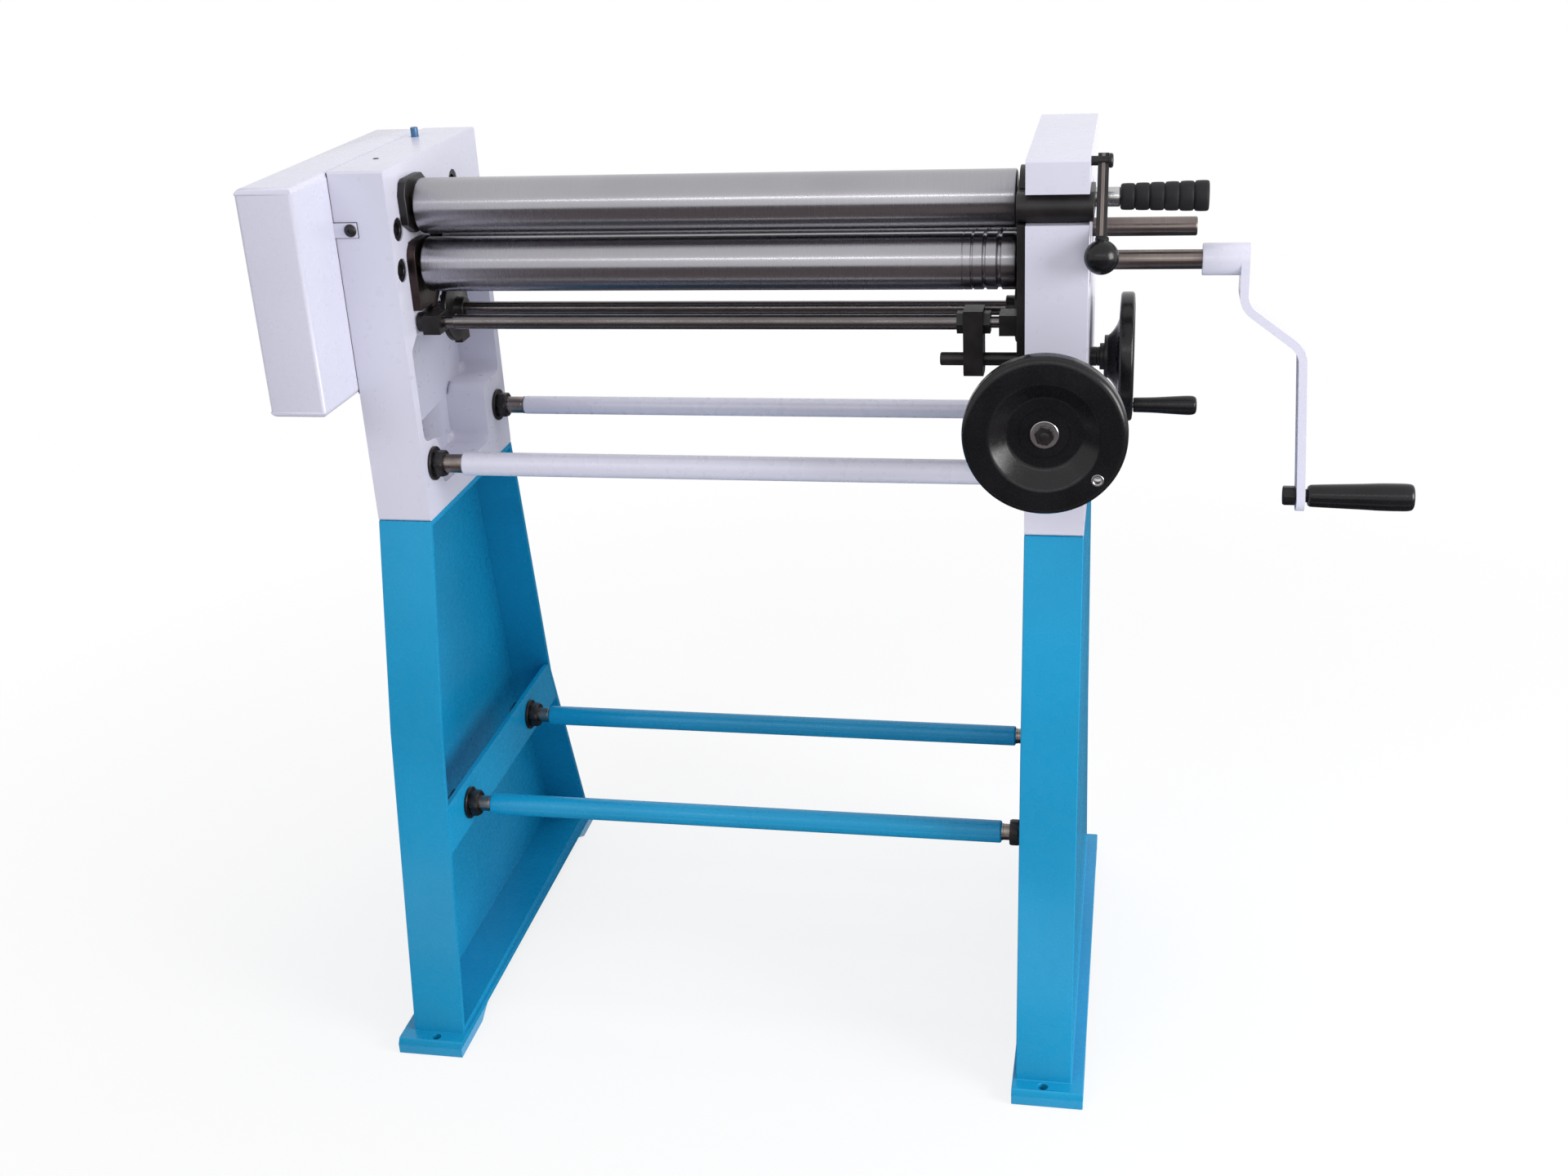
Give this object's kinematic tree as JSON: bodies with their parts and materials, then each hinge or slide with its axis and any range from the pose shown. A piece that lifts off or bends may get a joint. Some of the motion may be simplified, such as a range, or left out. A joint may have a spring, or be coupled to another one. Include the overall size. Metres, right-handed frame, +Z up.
{
  "type": "slip roll machine",
  "caption": "Floor-standing hand-cranked slip roll for sheet metal: three rolls between cast side frames on pressed legs, with geared drive, adjusting handwheels and quick-release top roll.",
  "frame": {"origin": "middle of the whole machine's footprint on the floor", "axes": "+X along the rolls towards the crank, +Y the way the sheet is fed, away from the front handwheel, +Z up"},
  "size_m": [1.5104, 0.713, 1.327],
  "materials": {
    "white_casting": "gloss lavender-white paint over a smooth casting",
    "white_paint": "gloss lavender-white paint",
    "blue_paint": "gloss blue enamel",
    "roll_steel": "ground steel",
    "plain_steel": "plain turned steel with a brown oil film",
    "bright_steel": "bright zinc-plated steel",
    "black_steel": "black oxide",
    "black_plastic": "gloss black phenolic",
    "grip_rubber": "matt ribbed rubber",
    "bronze": "plain bearing bronze",
    "oiler_blue": "blue lacquer"
  },
  "bodies": {
    "frame": {"left_leg": "blue_paint", "right_leg": "blue_paint", "left_cross_bar": "blue_paint", "right_cross_bar": "blue_paint", "left_side_frame": "white_casting", "right_side_frame": "white_casting", "frame_bolt_left_front": "black_steel", "frame_bolt_left_rear": "black_steel", "frame_bolt_right_front": "black_steel", "frame_bolt_right_rear": "black_steel", "upper_tie_rod_front": "white_paint", "upper_tie_rod_rear": "white_paint", "lower_tie_rod_front": "blue_paint", "lower_tie_rod_rear": "blue_paint", "gear_cover": "white_paint", "cover_screw": "black_steel", "oiler": "oiler_blue", "drive_bush": "bronze", "top_roll_housing": "black_steel", "latch_pin": "black_steel", "front_screw_bush": "bronze", "wheel_bush": "bronze"},
    "lower_slide": {"lower_bearing_left": "plain_steel", "lower_bearing_right": "plain_steel"},
    "lower_roll": {"lower_roll": "roll_steel", "lower_gear": "plain_steel", "crank_arm": "white_paint", "crank_bolt": "black_steel"},
    "crank_grip": {"crank_grip": "black_plastic"},
    "top_drive": {"top_gear": "plain_steel", "top_drive_shaft": "plain_steel"},
    "top_swing": {"top_bearing_sleeve": "black_steel"},
    "top_roll": {"top_roll": "roll_steel", "top_roll_grip": "grip_rubber"},
    "latch": {"latch_lever": "black_steel", "latch_ball": "black_plastic"},
    "rear_slide": {"rear_bearing_left": "plain_steel", "rear_bearing_right": "plain_steel"},
    "rear_roll": {"rear_roll": "roll_steel"},
    "front_wheel": {"front_handwheel": "black_plastic", "handle_insert": "bright_steel", "front_screw": "plain_steel", "wheel_washer": "bright_steel", "wheel_bolt": "black_steel"},
    "adjust_nut": {"adjust_nut": "black_steel", "drive_pin": "black_steel"},
    "front_rod": {"front_rod": "plain_steel", "actuator_arm": "black_steel", "lift_lever_left": "black_steel", "lift_lever_right": "black_steel"},
    "rear_rod": {"rear_rod": "plain_steel", "rear_pinion_left": "black_steel", "rear_pinion_right": "black_steel", "rear_gear": "plain_steel"},
    "rear_wheel": {"rear_handwheel": "black_plastic", "wheel_shaft": "bright_steel", "wheel_pinion": "plain_steel", "rear_handle_pin": "bright_steel"},
    "rear_handle": {"rear_handle": "black_plastic"}
  },
  "joints": [
    {"name": "front_wheel_turn", "type": "hinge", "parent": "frame", "child": "front_wheel", "pos_m": [0.28015, -0.2855, 0.99], "axis": [0, 1, 0], "range_deg": [-675, 1125]},
    {"name": "nut_slide", "type": "slide", "parent": "frame", "child": "adjust_nut", "axis": [0, 1, 0], "range_m": [-0.00376, 0.00626]},
    {"name": "front_rod_turn", "type": "hinge", "parent": "frame", "child": "front_rod", "pos_m": [-0.17335, -0.1315, 1.0935], "axis": [1, 0, 0], "range_deg": [-4.31, 7.17]},
    {"name": "lower_lift", "type": "slide", "parent": "frame", "child": "lower_slide", "axis": [0, 0, 1], "range_m": [-0.00301, 0.00501]},
    {"name": "crank_spin", "type": "hinge", "parent": "lower_slide", "child": "lower_roll", "pos_m": [-0.17335, -0.109, 1.17], "axis": [1, 0, 0], "continuous": true},
    {"name": "crank_grip_spin", "type": "hinge", "parent": "lower_roll", "child": "crank_grip", "pos_m": [0.68715, -0.109, 0.85], "axis": [1, 0, 0], "continuous": true},
    {"name": "top_drive_spin", "type": "hinge", "parent": "frame", "child": "top_drive", "pos_m": [-0.69085, -0.109, 1.251], "axis": [1, 0, 0], "continuous": true},
    {"name": "top_swing", "type": "hinge", "parent": "frame", "child": "top_swing", "pos_m": [-0.60785, -0.109, 1.251], "axis": [0, 0, -1], "range_deg": [0, 7]},
    {"name": "top_roll_spin", "type": "hinge", "parent": "top_swing", "child": "top_roll", "pos_m": [-0.17335, -0.109, 1.251], "axis": [1, 0, 0], "continuous": true},
    {"name": "latch_turn", "type": "hinge", "parent": "frame", "child": "latch", "pos_m": [0.34215, -0.1435, 1.303], "axis": [-1, 0, 0], "range_deg": [0, 140]},
    {"name": "rear_wheel_turn", "type": "hinge", "parent": "frame", "child": "rear_wheel", "pos_m": [0.37715, -0.0385, 1.0205], "axis": [-1, 0, 0], "range_deg": [-51.1, 136.4]},
    {"name": "rear_rod_turn", "type": "hinge", "parent": "frame", "child": "rear_rod", "pos_m": [-0.17335, -0.0385, 1.088], "axis": [1, 0, 0], "range_deg": [-41, 109.3]},
    {"name": "rear_lift", "type": "slide", "parent": "frame", "child": "rear_slide", "axis": [0, 0, 1], "range_m": [-0.015, 0.04]},
    {"name": "rear_roll_spin", "type": "hinge", "parent": "rear_slide", "child": "rear_roll", "pos_m": [-0.17335, -0.0185, 1.193], "axis": [1, 0, 0], "continuous": true},
    {"name": "rear_handle_spin", "type": "hinge", "parent": "rear_wheel", "child": "rear_handle", "pos_m": [0.42815, -0.04996, 0.9555], "axis": [1, 0, 0], "continuous": true}
  ],
  "couplings": [
    {"joint": "nut_slide", "follows": "front_wheel_turn", "m_per_rad": 0.00031831},
    {"joint": "front_rod_turn", "follows": "front_wheel_turn", "ratio": 0.0063662},
    {"joint": "lower_lift", "follows": "front_wheel_turn", "m_per_rad": 0.00025465},
    {"joint": "top_drive_spin", "follows": "crank_spin", "ratio": -1},
    {"joint": "top_roll_spin", "follows": "crank_spin", "ratio": -1},
    {"joint": "latch_turn", "follows": "top_swing", "ratio": 20},
    {"joint": "rear_rod_turn", "follows": "rear_wheel_turn", "ratio": 0.8},
    {"joint": "rear_lift", "follows": "rear_wheel_turn", "m_per_rad": 0.0168}
  ]
}
